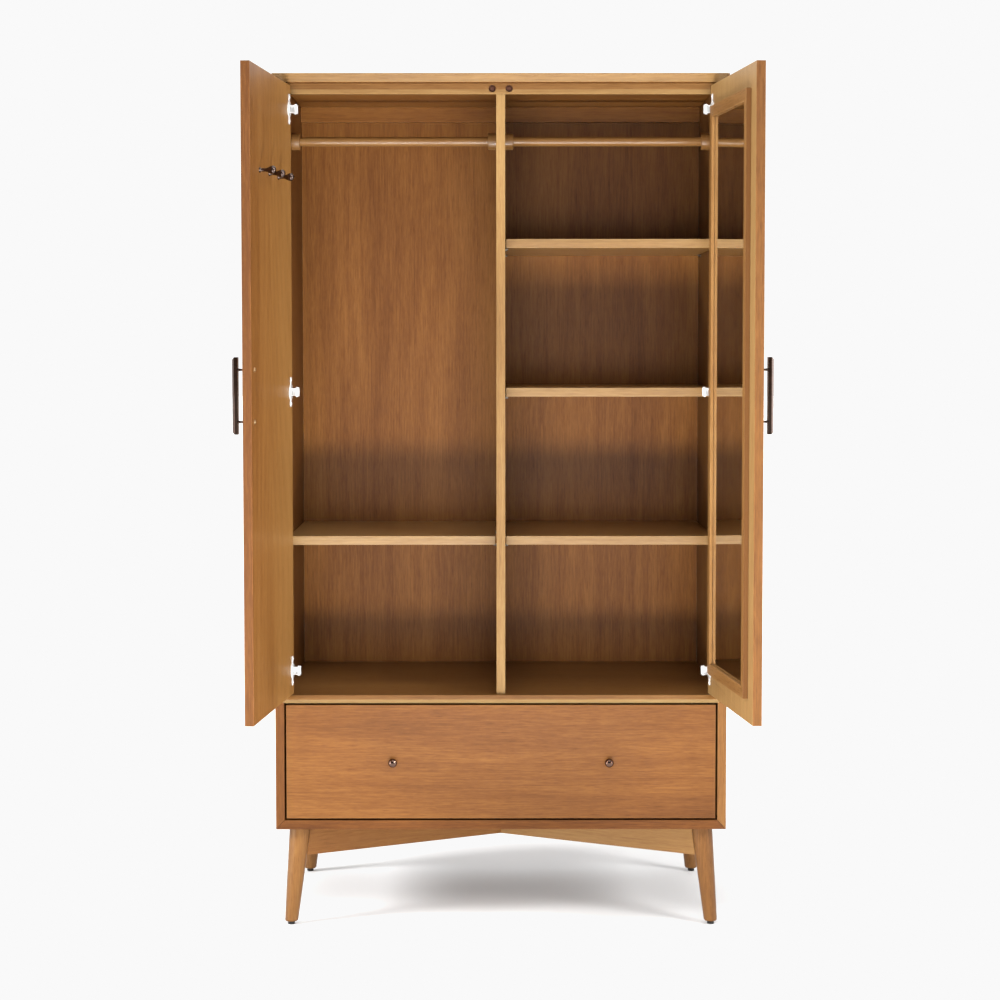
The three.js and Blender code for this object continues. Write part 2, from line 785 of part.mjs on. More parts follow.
for (const [name, side] of [["left", -1], ["right", 1]]) {
  const knob = add(drawer, `drawer_${name}_knob`, turned(knobProfile()), knobBronze);
  knob.position.set(side * KNOB_FROM_CENTRE, DOOR_INSET - GAP, (frontBottom + frontTop) / 2);
  knob.rotation.z = Math.PI;
}

export default armoire;
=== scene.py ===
"""Looks for the two-door armoire: wood, fittings, a pale floor, soft light and the camera.

Lengths are in metres, in the row frame. A door's own coordinates run along x from its
hinge edge, across its thickness along y from the outer face, and up along z.
"""

import json
import math

import bmesh
import bpy
from mathutils import Matrix, Vector


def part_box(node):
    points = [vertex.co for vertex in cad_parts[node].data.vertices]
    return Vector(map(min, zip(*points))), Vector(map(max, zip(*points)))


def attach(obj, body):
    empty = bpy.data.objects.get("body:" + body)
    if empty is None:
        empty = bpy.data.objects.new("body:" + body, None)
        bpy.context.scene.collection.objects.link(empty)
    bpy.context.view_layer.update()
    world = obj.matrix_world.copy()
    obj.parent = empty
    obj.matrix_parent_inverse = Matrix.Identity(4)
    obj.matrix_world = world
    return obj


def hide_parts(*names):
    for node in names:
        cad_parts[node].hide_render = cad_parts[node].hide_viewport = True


MM = 0.001
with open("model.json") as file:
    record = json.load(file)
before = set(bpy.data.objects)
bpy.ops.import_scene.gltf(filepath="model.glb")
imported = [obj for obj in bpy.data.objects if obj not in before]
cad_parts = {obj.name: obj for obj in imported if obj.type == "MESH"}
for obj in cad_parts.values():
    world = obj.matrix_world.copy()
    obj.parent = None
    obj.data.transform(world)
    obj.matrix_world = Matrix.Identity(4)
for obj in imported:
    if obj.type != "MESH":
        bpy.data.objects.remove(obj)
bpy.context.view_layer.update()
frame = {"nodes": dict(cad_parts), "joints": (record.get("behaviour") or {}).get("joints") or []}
nodes = frame["nodes"]
joints = {joint["name"]: joint for joint in frame["joints"]}
LEVELS = ("top", "middle", "bottom")


def middle(node):
    lo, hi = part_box(node)
    return (lo + hi) / 2


def turn(axis, degrees):
    return Matrix.Rotation(math.radians(degrees), 4, axis)


def at(x, y, z):
    return Matrix.Translation((x, y, z))


def door_place(side):
    """The matrix from an open door's own coordinates to the row frame."""
    name = "left_door_hinge" if side < 0 else "right_door_hinge"
    x, y, _ = joints[name]["pos_m"]
    return at(x, y, 0) @ turn("Z", side * joints[name]["range_deg"][1])


SIDES = (("left", -1), ("right", 1))
CASE = at(0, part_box("case_top")[0].y, 0)  # y runs back from the case's front plane
DOOR = {side: door_place(side) for name, side in SIDES}


# ---- Shader nodes --------------------------------------------------------------------


class Tree:
    """Shorthand for making shader nodes."""

    def __init__(self, tree):
        self.tree = tree

    def add(self, kind, **settings):
        node = self.tree.nodes.new(kind)
        for name, value in settings.items():
            setattr(node, name, value)
        return node

    def plug(self, socket, value):
        if isinstance(value, bpy.types.NodeSocket):
            self.tree.links.new(value, socket)
        elif value is not None:
            socket.default_value = value

    def math(self, operation, a, b=None, c=None, clamp=False):
        node = self.add("ShaderNodeMath", operation=operation, use_clamp=clamp)
        for socket, value in zip(node.inputs, (a, b, c)):
            self.plug(socket, value)
        return node.outputs[0]

    def vector(self, operation, a, b=None):
        node = self.add("ShaderNodeVectorMath", operation=operation)
        for socket, value in zip(node.inputs, (a, b)):
            self.plug(socket, value)
        return node.outputs[0]

    def split(self, vector):
        """The x, y and z of a vector."""
        node = self.add("ShaderNodeSeparateXYZ")
        self.plug(node.inputs[0], vector)
        return node.outputs

    def noise(self, vector, stretch, detail=2.0, roughness=0.5, output=0):
        """Noise whose scale, in waves per metre, is given along each axis."""
        node = self.add("ShaderNodeTexNoise")
        self.plug(node.inputs["Vector"], self.vector("MULTIPLY", vector, stretch))
        node.inputs["Scale"].default_value = 1
        node.inputs["Detail"].default_value = detail
        node.inputs["Roughness"].default_value = roughness
        return node.outputs[output]

    def span(self, value, low, high, to_low=0.0, to_high=1.0):
        """A smooth step from one value to another while the input goes from low to high."""
        node = self.add("ShaderNodeMapRange", interpolation_type="SMOOTHSTEP")
        for socket, given in zip(node.inputs, (value, low, high, to_low, to_high)):
            self.plug(socket, given)
        return node.outputs[0]

    def mix(self, factor, a, b):
        node = self.add("ShaderNodeMix", data_type="RGBA")
        self.plug(node.inputs[0], factor)
        self.plug(node.inputs[6], a)
        self.plug(node.inputs[7], b)
        return node.outputs[2]

    def ramp(self, factor, stops):
        node = self.add("ShaderNodeValToRGB")
        elements = node.color_ramp.elements
        while len(elements) < len(stops):
            elements.new(0.5)
        for element, (position, colour) in zip(elements, stops):
            element.position = position
            element.color = (*colour, 1)
        self.plug(node.inputs[0], factor)
        return node.outputs[0]

    def bump(self, height, strength, distance):
        node = self.add("ShaderNodeBump")
        self.plug(node.inputs["Strength"], strength)
        self.plug(node.inputs["Distance"], distance)
        self.plug(node.inputs["Height"], height)
        return node.outputs[0]


def new_material(name, **fixed):
    """A material with a Principled shader. The fixed values go on its own sockets."""
    material = bpy.data.materials.new(name)
    material.use_nodes = True
    tree = material.node_tree
    shader = next(n for n in tree.nodes if n.type == "BSDF_PRINCIPLED")
    for socket, value in fixed.items():
        shader.inputs[socket.replace("_", " ")].default_value = value
    return material, Tree(tree), shader


# ---- Wood ----------------------------------------------------------------------------

# The wood's colours by tone, for its usual cuts and for its palest ones. The pale colours
# also serve as painted light on faces that are meant to look better lit.
WOOD_STOPS = [
    (0.0, (0.0528, 0.0161, 0.0033)),
    (0.35, (0.1024, 0.0358, 0.0072)),
    (0.6, (0.1440, 0.0552, 0.0116)),
    (1.0, (0.2048, 0.0913, 0.0224)),
    (1.5, (0.2750, 0.1360, 0.0380)),
]
PALE_STOPS = [
    (0.0, (0.1008, 0.0498, 0.0160)),
    (0.35, (0.1600, 0.0880, 0.0304)),
    (0.6, (0.2016, 0.1220, 0.0464)),
    (1.0, (0.2560, 0.1743, 0.0736)),
    (1.5, (0.3300, 0.2450, 0.1180)),
]
BRIGHTEST = 1.5  # the tone of the last stop
WANDER = 8 * MM  # from the furthest that the grain bends to one side to the other
RING_RATE = 200.0  # how many radians of the ring pattern there are in a metre
LOG_HALF = 330 * MM  # half of the way across the grain from one log's middle to the next


def make_wood_group():
    """Lacquered wood with its grain along z: figure, streaks, fibres, pores, worn edges."""
    group = bpy.data.node_groups.new("wood_grain", "ShaderNodeTree")
    sockets = [
        ("Vector", "NodeSocketVector"),
        ("Seed", "NodeSocketFloat"),
        ("Tone", "NodeSocketFloat"),
        ("Figure", "NodeSocketFloat"),
        ("Pale", "NodeSocketFloat"),
        ("Edge", "NodeSocketFloat"),
    ]
    for name, kind in sockets:
        group.interface.new_socket(name, in_out="INPUT", socket_type=kind)
    for name, kind in (("Color", "Color"), ("Roughness", "Float"), ("Normal", "Vector")):
        group.interface.new_socket(name, in_out="OUTPUT", socket_type="NodeSocket" + kind)
    t = Tree(group)
    given = t.add("NodeGroupInput").outputs
    # Each seed takes its wood from another place in the pattern.
    shift = t.vector("MULTIPLY", (3.17, 7.31, 1.73), given["Seed"])
    place = t.vector("ADD", given["Vector"], shift)

    # Slow bends of the grain, so that streaks and rings wander.
    bend = t.noise(place, (2.2, 2.2, 0.9), 1.0, output=1)
    bend = t.vector("SUBTRACT", bend, (0.5, 0.5, 0.5))
    bent = t.vector("ADD", place, t.vector("MULTIPLY", bend, (WANDER, WANDER, 0.0)))

    # Growth rings cut at a slant, which make arches on a wide face: depth is how far the
    # log's middle lies below the face there.
    slant = t.noise(place, (0.9, 0.9, 0.55), 1.0)
    depth = t.math("MULTIPLY", slant, 0.55)
    across = t.math("PINGPONG", t.split(bent)[0], LOG_HALF)
    radius = t.math("ADD", t.math("MULTIPLY", across, across), t.math("MULTIPLY", depth, depth))
    radius = t.math("SQRT", radius)
    ring = t.math("SINE", t.math("MULTIPLY", radius, RING_RATE))
    ring = t.math("MULTIPLY", ring, given["Figure"])

    # From wide patches down to single fibres, all drawn out along the grain.
    broad = t.noise(place, (4.2, 4.2, 1.1), 2.0)
    patch = t.noise(bent, (14.0, 14.0, 1.9), 3.0, 0.55)
    streak = t.noise(bent, (60.0, 60.0, 1.1), 2.0, 0.6)
    fine = t.noise(bent, (300.0, 300.0, 8.0), 2.0, 0.6)
    dash = t.noise(bent, (290.0, 290.0, 22.0), 2.0, 0.6)
    speckle = t.noise(bent, (540.0, 540.0, 70.0), 2.0, 0.7)
    fibre = t.noise(place, (1500.0, 1500.0, 28.0), 2.0)
    hair = t.span(t.noise(bent, (190.0, 190.0, 1.6), 1.0), 0.62, 0.72)
    pores = t.span(t.noise(place, (620.0, 620.0, 26.0), 1.0), 0.60, 0.70)

    # The tone of each spot: every layer adds its weight, darker or lighter.
    value = t.math("MULTIPLY_ADD", broad, 0.55, 0.24)
    layers = (
        (patch, 0.44),
        (streak, 0.22),
        (fine, 0.34),
        (dash, 0.50),
        (speckle, 0.30),
        (fibre, 0.10),
    )
    for layer, weight in layers:
        centred = t.math("SUBTRACT", layer, 0.5)
        value = t.math("MULTIPLY_ADD", centred, weight, value)
    value = t.math("MULTIPLY_ADD", ring, 0.04, value)
    value = t.math("MULTIPLY_ADD", pores, -0.15, value)
    value = t.math("MULTIPLY_ADD", hair, -0.09, value)
    value = t.math("ADD", value, given["Tone"])
    value = t.math("MULTIPLY_ADD", given["Edge"], 0.16, value)
    value = t.math("DIVIDE", value, BRIGHTEST, clamp=True)

    deep = [(tone / BRIGHTEST, colour) for tone, colour in WOOD_STOPS]
    pale = [(tone / BRIGHTEST, colour) for tone, colour in PALE_STOPS]
    colour = t.mix(given["Pale"], t.ramp(value, deep), t.ramp(value, pale))
    rough = t.math("MULTIPLY_ADD", speckle, 0.16, 0.34)
    rough = t.math("MULTIPLY_ADD", pores, 0.12, rough)
    rough = t.math("MULTIPLY_ADD", given["Edge"], 0.08, rough)
    relief = t.math("MULTIPLY_ADD", pores, -0.8, t.math("MULTIPLY", fibre, 0.5))
    relief = t.math("MULTIPLY_ADD", fine, 0.35, relief)
    normal = t.bump(relief, 0.22, 0.22 * MM)
    result = t.add("NodeGroupOutput").inputs
    t.plug(result["Color"], colour)
    t.plug(result["Roughness"], rough)
    t.plug(result["Normal"], normal)
    return group


WOOD = make_wood_group()
SKIN = 0.6 * MM  # how far a face's own veneer reaches into a board
RUB_SCALE = (95.0, 95.0, 95.0)  # how fast the wear along an edge changes
LEAST_RUB, MOST_RUB = 0.2 * MM, 3.7 * MM  # how far the wear reaches in from an edge
GRAIN_TURN = {"x": (0, math.pi / 2, 0), "y": (math.pi / 2, 0, 0), "z": (0, 0, 0)}


def box_in(obj, place):
    """The lowest and highest corner of a mesh in the coordinates of a placing matrix."""
    inverse = place.inverted()
    points = [inverse @ (obj.matrix_world @ v.co) for v in obj.data.vertices]
    lo = Vector(min(p[i] for p in points) for i in range(3))
    hi = Vector(max(p[i] for p in points) for i in range(3))
    return lo, hi


def coordinates_in(t, obj, place):
    """Shader coordinates in the frame of a placing matrix."""
    local = t.add("ShaderNodeMapping", vector_type="TEXTURE")
    t.plug(local.inputs["Vector"], t.add("ShaderNodeTexCoord").outputs["Object"])
    to_object = obj.matrix_world.inverted() @ place
    local.inputs["Location"].default_value = to_object.to_translation()
    local.inputs["Rotation"].default_value = to_object.to_euler()
    return local.outputs[0]


def edge_wear(t, local, x, y, z):
    """How worn a spot is, from its distances to the nearest faces across x, y and z.

    The second smallest of them is nothing along an edge of the board, which wears most.
    """
    farther = t.math("MAXIMUM", x, y)
    second = t.math("MAXIMUM", t.math("MINIMUM", x, y), t.math("MINIMUM", farther, z))
    rub = t.noise(local, RUB_SCALE, 3.0)
    reach = t.math("MULTIPLY_ADD", rub, MOST_RUB - LEAST_RUB, LEAST_RUB)
    return t.span(second, 0.0, reach, 1.0, 0.0)


def wood(
    obj, grain, place=Matrix(), tone=0.0, pale=0.0, figure=0.5, fade=0.0,
    lip=None, lining=None, ends=None, worn=1.0, coat=0.1, gloss=0.28,
):
    """Gives a piece its own cut of wood, in the frame that its edges line up with.

    Fade is how much lighter its tone gets per metre along x. A band nearer the front than a
    depth and lower than a height, given by its depth, height, tone and paleness, is a solid
    front edge on some boards and painted light on the lit lower slope or face of others.
    A lining is the face at the highest y, given by its tone, paleness, figure and fade. Ends
    are the tone and paleness of the faces across x, which paint shade there.
    """
    material, t, shader = new_material(
        f"wood_{obj.name}", IOR=1.45, Specular_IOR_Level=0.2, Coat_Weight=coat, Coat_Roughness=gloss
    )
    lo, hi = box_in(obj, place)
    local = coordinates_in(t, obj, place)
    from_low = t.vector("SUBTRACT", local, lo)
    along_x, behind_front, above = t.split(from_low)
    x, y, z = t.split(t.vector("MINIMUM", from_low, t.vector("SUBTRACT", hi, local)))
    edge = t.math("MULTIPLY", edge_wear(t, local, x, y, z), worn)

    def switch(mask, off, on):
        """One value where the mask is 0 and another where it is 1."""
        return t.math("MULTIPLY_ADD", mask, t.math("SUBTRACT", on, off), off)

    if fade:
        tone = t.math("MULTIPLY_ADD", along_x, fade, tone)
    # The band: a solid front edge on some boards, painted light on the lit lower part of others.
    if lip:
        depth, height, lip_tone, lip_pale = lip
        in_depth = t.math("LESS_THAN", behind_front, depth)
        in_lip = t.math("MULTIPLY", in_depth, t.math("LESS_THAN", above, height))
        tone = switch(in_lip, tone, lip_tone)
        pale = switch(in_lip, pale, lip_pale)
    if lining:
        inner_tone, inner_pale, inner_figure, inner_fade = lining
        lined = t.math("GREATER_THAN", behind_front, hi.y - lo.y - SKIN)
        tone = switch(lined, tone, t.math("MULTIPLY_ADD", along_x, inner_fade, inner_tone))
        pale = switch(lined, pale, inner_pale)
        figure = switch(lined, figure, inner_figure)
    # The ends' own tone and paleness, used as painted shade on the faces across x.
    if ends:
        at_end = t.math("LESS_THAN", x, SKIN)
        end_tone, end_pale = ends
        tone = switch(at_end, tone, end_tone)
        pale = switch(at_end, pale, end_pale)

    along = t.add("ShaderNodeMapping", vector_type="POINT")
    t.plug(along.inputs["Vector"], local)
    along.inputs["Rotation"].default_value = GRAIN_TURN[grain]
    grains = t.add("ShaderNodeGroup", node_tree=WOOD)
    # The seed depends on the name alone, so each piece keeps its own cut of the log.
    seed = sum(ord(letter) * (i + 3) for i, letter in enumerate(obj.name)) % 97 / 3.7
    given = (along.outputs[0], seed, tone, figure, pale, edge)
    for socket, value in zip(grains.inputs, given):
        t.plug(socket, value)
    for name, target in (("Color", "Base Color"), ("Roughness", "Roughness"), ("Normal", "Normal")):
        t.plug(shader.inputs[target], grains.outputs[name])
    paint(obj, material)


def paint(obj, material):
    """Gives an object its material. A mesh that has materials already stays as it is."""
    if obj.data.materials:
        for slot in obj.material_slots:
            slot.link = "OBJECT"
            slot.material = material
    else:
        obj.data.materials.append(material)


# ---- Metal, plastic and glass --------------------------------------------------------


def metal(name, dark, light, rough, coat=0.0, solid=1.0):
    """Metal with drifting tone and fine brushing along z that shows in its polish."""
    material, t, shader = new_material(
        name, Metallic=solid, Coat_Weight=coat, Coat_Roughness=0.08, Coat_IOR=1.5
    )
    place = t.add("ShaderNodeTexCoord").outputs["Object"]
    drift = t.noise(place, (60.0, 60.0, 60.0), 4.0, 0.6)
    brush = t.noise(place, (2600.0, 2600.0, 240.0), 2.0)
    mixed = t.math("MULTIPLY_ADD", brush, 0.35, t.math("MULTIPLY", drift, 0.65))
    t.plug(shader.inputs["Base Color"], t.ramp(mixed, [(0.32, dark), (0.68, light)]))
    t.plug(shader.inputs["Roughness"], t.span(mixed, 0.25, 0.75, rough * 0.75, rough * 1.35))
    t.plug(shader.inputs["Normal"], t.bump(brush, 0.1, 0.06 * MM))
    return material


def plastic(name, dark, light, rough):
    """Moulded plastic with a fine pebbled skin and dusty patches."""
    material, t, shader = new_material(name, IOR=1.46, Specular_IOR_Level=0.25)
    place = t.add("ShaderNodeTexCoord").outputs["Object"]
    dust = t.noise(place, (140.0, 140.0, 140.0), 4.0, 0.6)
    pebble = t.noise(place, (2200.0, 2200.0, 2200.0), 1.0)
    t.plug(shader.inputs["Base Color"], t.ramp(dust, [(0.35, dark), (0.75, light)]))
    t.plug(shader.inputs["Roughness"], t.span(dust, 0.3, 0.7, rough, rough + 0.15))
    t.plug(shader.inputs["Normal"], t.bump(pebble, 0.3, 0.08 * MM))
    return material


def silvered_glass():
    """Mirror glass with a trace of haze."""
    material, t, shader = new_material("silvered_glass", Metallic=1.0)
    place = t.add("ShaderNodeTexCoord").outputs["Object"]
    haze = t.noise(place, (7.0, 7.0, 3.0), 3.0)
    tint = [(0.3, (0.80, 0.82, 0.81)), (0.7, (0.86, 0.875, 0.87))]
    t.plug(shader.inputs["Base Color"], t.ramp(haze, tint))
    t.plug(shader.inputs["Roughness"], t.span(haze, 0.35, 0.75, 0.012, 0.035))
    return material


BRONZE = metal("dark_bronze", (0.016, 0.007, 0.003), (0.045, 0.020, 0.011), 0.15, coat=0.3)
POLISHED = metal("polished_bronze", (0.030, 0.013, 0.008), (0.090, 0.045, 0.028), 0.09, coat=1.0)
COPPER = metal("copper_bronze", (0.070, 0.030, 0.017), (0.170, 0.085, 0.052), 0.06, coat=0.8)
NICKEL = metal("nickel_plate", (0.62, 0.62, 0.61), (0.78, 0.78, 0.77), 0.38, solid=0.45)
STEEL = metal("zinc_steel", (0.16, 0.15, 0.14), (0.30, 0.29, 0.27), 0.34)
BRASS = metal("screw_brass", (0.62, 0.46, 0.26), (0.80, 0.64, 0.40), 0.28)
BLACK = plastic("black_plastic", (0.010, 0.009, 0.008), (0.030, 0.028, 0.026), 0.45)
BROWN = plastic("brown_plastic", (0.030, 0.010, 0.006), (0.070, 0.028, 0.016), 0.40)
MIRROR = silvered_glass()


# ---- Mesh pieces ---------------------------------------------------------------------


def piece(name, body, bm, place, material=None, replaces=(), sharp=35):
    """Makes a piece of a bmesh, as place_mesh does of a mesh."""
    mesh = bpy.data.meshes.new(name)
    bmesh.ops.recalc_face_normals(bm, faces=bm.faces)
    bm.to_mesh(mesh)
    bm.free()
    return place_mesh(name, body, mesh, place, material, replaces, sharp)


def place_mesh(name, body, mesh, place, material=None, replaces=(), sharp=35):
    """Puts a mesh in its place to ride on a body. Edges sharper than an angle stay sharp."""
    mesh.shade_smooth()
    mesh.set_sharp_from_angle(angle=math.radians(sharp))
    obj = bpy.data.objects.new(name, mesh)
    bpy.context.scene.collection.objects.link(obj)
    obj.matrix_world = place
    bpy.context.view_layer.update()
    if material:
        mesh.materials.append(material)
    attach(obj, body)
    if replaces:
        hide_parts(*replaces)
    return obj


def soften(obj, width, segments=2, angle=40):
    """Rounds a piece's edges with a bevel."""
    bevel = obj.modifiers.new("soft_edges", "BEVEL")
    bevel.width = width
    bevel.segments = segments
    bevel.limit_method = "ANGLE"
    bevel.angle_limit = math.radians(angle)


def add_rings(bm, rings):
    """A closed skin through rings of points, with flat ends."""
    made = [[bm.verts.new(point) for point in ring] for ring in rings]
    for low, high in zip(made, made[1:]):
        for i in range(len(low)):
            j = (i + 1) % len(low)
            bm.faces.new((low[i], low[j], high[j], high[i]))
    bm.faces.new(made[0])
    bm.faces.new(made[-1])
    return bm


def circle(radius, z, count=64, x=0.0, y=0.0):
    """Points (x, y, z) round a level circle."""
    angles = (2 * math.pi * i / count for i in range(count))
    return [(x + radius * math.cos(a), y + radius * math.sin(a), z) for a in angles]


def turned(profile, count=64, bm=None):
    """A turned shape about z through (radius, height) pairs in millimetres."""
    rings = [circle(max(r, 0.01) * MM, h * MM, count) for r, h in profile]
    return add_rings(bm or bmesh.new(), rings)


def slab(corners, low, high, bm=None):
    """An outline of (x, y) points in millimetres, thickened along z."""
    rings = [[(x * MM, y * MM, z * MM) for x, y in corners] for z in (low, high)]
    return add_rings(bm or bmesh.new(), rings)


def arc(x, y, radius, start, end, steps):
    """Points (x, y) round part of a circle, from one angle to another in degrees."""
    angles = [math.radians(start + (end - start) * i / steps) for i in range(steps + 1)]
    return [(x + radius * math.cos(a), y + radius * math.sin(a)) for a in angles]


def screw_mesh(name, radius, height, material, flat=False):
    """A cross-head screw's head, in millimetres: rings of points, pressed in at the slots."""
    bm = bmesh.new()
    ring_count, spoke_count = 12, 40
    dome = 0.92  # how far the head falls towards its rim, from 0 to 1
    slot_half_width, slot_reach, recess = radius * 0.11, radius * 0.55, height * 0.55
    made = []
    for i in range(ring_count):
        share = 1 - i / ring_count
        ring = []
        for j in range(spoke_count):
            a = 2 * math.pi * j / spoke_count
            x, y = radius * share * math.cos(a), radius * share * math.sin(a)
            z = height if flat else height * math.sqrt(1 - dome * share * share)
            nearer, farther = sorted((abs(x), abs(y)))
            if nearer < slot_half_width and farther < slot_reach:
                z -= recess
            ring.append((x * MM, y * MM, z * MM))
        made.append(ring)
    rim = [(x, y, 0.0) for x, y, _ in made[0]]
    add_rings(bm, [rim, *made])
    mesh = bpy.data.meshes.new(name)
    bmesh.ops.recalc_face_normals(bm, faces=bm.faces)
    bm.to_mesh(mesh)
    bm.free()
    mesh.materials.append(material)
    return mesh


NICKEL_SCREW = screw_mesh("nickel_screw", 3.6, 1.5, NICKEL)
SMALL_SCREW = screw_mesh("small_screw", 2.9, 1.1, NICKEL)
HANDLE_SCREW = screw_mesh("handle_screw", 5.6, 2.0, BRASS)
PANEL_SCREW = screw_mesh("panel_screw", 3.8, 0.8, STEEL, flat=True)


def screw(name, body, mesh, place):
    """A screw, which shares its mesh with the others of its kind."""
    place_mesh(name, body, mesh, place, sharp=50)


# ---- Boards --------------------------------------------------------------------------


def board(name, grain, ease=0.7, **look):
    """A CAD board that stays: edges eased by some tenths of a millimetre and its own wood."""
    obj = nodes[name]
    weld = obj.modifiers.new("weld", "WELD")
    weld.merge_threshold = 0.02 * MM
    soften(obj, ease * MM)
    wood(obj, grain, **look)


WHOLE = 10.0  # a lip's depth or height where it takes in the whole of the board
BEVEL = 8.2 * MM  # how far the case's bevelled front edges reach back
VENEER = 1.0 * MM  # how thick the solid front edge of an inner board is

# The top's pale front band is painted light on its bevel, which faces down towards the low light.
board("case_top", "x", figure=0.7, lip=(BEVEL, WHOLE, -0.16, 1.0))
# The bottom is darker all over as painted shade, set by its front bevel, which faces up, away from the
# low light.
board("case_bottom", "x", tone=-0.30, figure=0.7)
# The left side is darker as painted shade and the right side lighter and paler as painted light, as the
# light comes mostly from the left.
board("case_left_side", "z", tone=-0.10, figure=0.8)
board("case_right_side", "z", tone=0.04, pale=0.2, figure=0.8)
# Its band covers the lower slope of the front bevel and is paler as painted light from below; the upper
# slope keeps the board's tone.
board("compartment_floor", "x", tone=0.03, pale=0.25, lip=(BEVEL, 9 * MM, 0.12, 1.0), coat=0.3)
board("centre_partition", "z", lip=(VENEER, WHOLE, -0.16, 1.0))
# The rail's lower part is paler as painted light; its upper part stays darker as painted shade under
# the top's overhang.
board("top_stop_rail", "x", pale=0.35, figure=0.3, lip=(WHOLE, 10 * MM, 0.1, 0.8))
board("back_top_rail", "x", tone=-0.03)
board("back_panel", "z", tone=-0.02, figure=1.0, ease=0.3)
# The shelves' raised tone and paleness are painted light on their tops, most on the left shelf, whose
# tall open bay lets in more light.
board("left_shelf", "x", tone=0.75, pale=0.3, lip=(VENEER, WHOLE, -0.08, 0.9), coat=1.0)
for level in ("lower", "middle", "upper"):
    lip = (VENEER, WHOLE, -0.12, 0.9)
    board(f"right_shelf_{level}", "x", tone=0.45, pale=0.25, lip=lip, coat=0.8)
board("drawer_front", "x", pale=0.05, figure=0.8, fade=-0.16)
board("drawer_left_side", "y", tone=0.04)
board("drawer_right_side", "y", tone=0.04)
board("drawer_back", "x", tone=0.04)
board("drawer_floor", "x", tone=-0.02, ease=0.3)

# Each door: its lining and its ends, as wood takes them. The left lining's fade is painted light,
# lighter near the hinge and darker towards the free edge. The right lining's paleness is partly
# the wood's own and partly painted light. Both doors' ends are darkened as painted shade.
door_looks = (
    ("left", -1, (0.62, 0.08, 1.8, -1.3), (-0.42, 0.15)),
    ("right", 1, (0.24, 0.65, 1.4, 0.0), (-0.32, 0.25)),
)
for name, side, lining, ends in door_looks:
    board(f"{name}_door_panel", "z", place=DOOR[side], figure=0.8, lining=lining, ends=ends)
# The free stile's ends are darkened as painted shade on its outer side, which faces the front.
mirror_frame_bars = (
    ("hinge_stile", "z", None),
    ("free_stile", "z", (-0.65, 0.4)),
    ("top_rail", "x", None),
    ("bottom_rail", "x", None),
)
for bar, grain, ends in mirror_frame_bars:
    board(f"mirror_frame_{bar}", grain, place=DOOR[1], pale=0.4, figure=0.2, ends=ends, ease=0.4)
paint(nodes["mirror_glass"], MIRROR)

# Each stretcher: which way it turns, its tone and its paleness. The second is lighter and paler
# as painted light, since its face turns towards the light from the left.
stretcher_looks = (
    ("front_left_to_back_right", 1, 0.2, 0.0),
    ("front_right_to_back_left", -1, 0.5, 0.25),
)
for name, way, tone, pale in stretcher_looks:
    lo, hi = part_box(f"stretcher_{name}")
    angle = math.degrees(math.atan2(hi.y - lo.y, hi.x - lo.x))
    place = at(*middle(f"stretcher_{name}")) @ turn("Z", way * angle)
    board(f"stretcher_{name}", "x", place=place, tone=tone, pale=pale, figure=0.3, ease=0.9)


# ---- Turned wood ---------------------------------------------------------------------


def leg(corner):
    """A tapered leg that leans outwards, with an eased foot."""
    lo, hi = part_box(f"{corner}_leg")
    out = -1 if "left" in corner else 1
    back = 1 if "back" in corner else -1
    top_radius, foot_radius = 24.0, 15.0
    outer = Vector((hi.x if out > 0 else lo.x, hi.y if back > 0 else lo.y))
    inner = Vector((lo.x if out > 0 else hi.x, lo.y if back > 0 else hi.y))
    way = Vector((out, back))
    foot = outer - way * foot_radius * MM
    top = inner + way * top_radius * MM
    # Each ring: its share of the leg's height and its radius in millimetres.
    profile = ((0, 12.6), (0.003, 13.6), (0.008, 14.5), (0.016, foot_radius), (1, top_radius))
    rings = []
    for share, radius in profile:
        centre = foot.lerp(top, share)
        height = lo.z + (hi.z - lo.z) * share
        rings.append(circle(radius * MM, height, 96, centre.x, centre.y))
    bm = add_rings(bmesh.new(), rings)
    made = piece(
        f"{corner}_turned_leg", "cabinet", bm, Matrix(), replaces=[f"{corner}_leg"]
    )
    wood(made, "z", tone=0.04, pale=0.18, worn=0.0)


def glide(corner):
    """A moulded glide with a rounded rim under a leg."""
    centre = middle(f"{corner}_glide")
    profile = [(5.6, 0.0), (7.2, 0.3), (7.9, 1.2), (8.0, 2.4)]
    profile += [(8.0, 5.2), (7.2, 6.2), (6.2, 6.5), (6.2, 7.7)]
    place = at(centre.x, centre.y, 0)
    name = f"{corner}_glide"
    piece(name + "_moulding", "cabinet", turned(profile), place, BLACK, [name])


for corner in ("front_left", "front_right", "back_left", "back_right"):
    leg(corner)
    glide(corner)


def rod_piece(name, profile, place, node):
    """A turned and polished piece of a hanging rod, with its grain along the rod."""
    made = piece(name, "cabinet", turned(profile), place, replaces=[node])
    wood(made, "z", place=place, tone=0.1, pale=0.35, worn=0.0, coat=1.0, gloss=0.13)


for name, side in SIDES:
    rod = f"{name}_rod"
    lo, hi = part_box(rod)
    half, radius, chamfer = (hi.x - lo.x) / 2 / MM, 11.0, 0.8
    profile = [(radius - chamfer, -half), (radius, chamfer - half)]
    profile += [(radius, half - chamfer), (radius - chamfer, half)]
    rod_piece(f"{name}_hanging_rod", profile, at(*middle(rod)) @ turn("Y", 90), rod)
    for end, facing in (("outer", -side), ("inner", side)):
        socket = f"{rod}_{end}_socket"
        lo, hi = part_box(socket)
        wall = lo.x if facing > 0 else hi.x
        profile = [(20.0, 0.0), (20.0, 17.6), (19.6, 18.8), (18.4, 19.6), (13.0, 19.7)]
        profile += [(11.8, 19.2), (11.5, 18.2), (11.5, 6.0), (0.0, 6.0)]
        place = at(wall, middle(socket).y, middle(socket).z) @ turn("Y", 90 * facing)
        rod_piece(f"{socket}_cup", profile, place, socket)


# ---- Hinges --------------------------------------------------------------------------


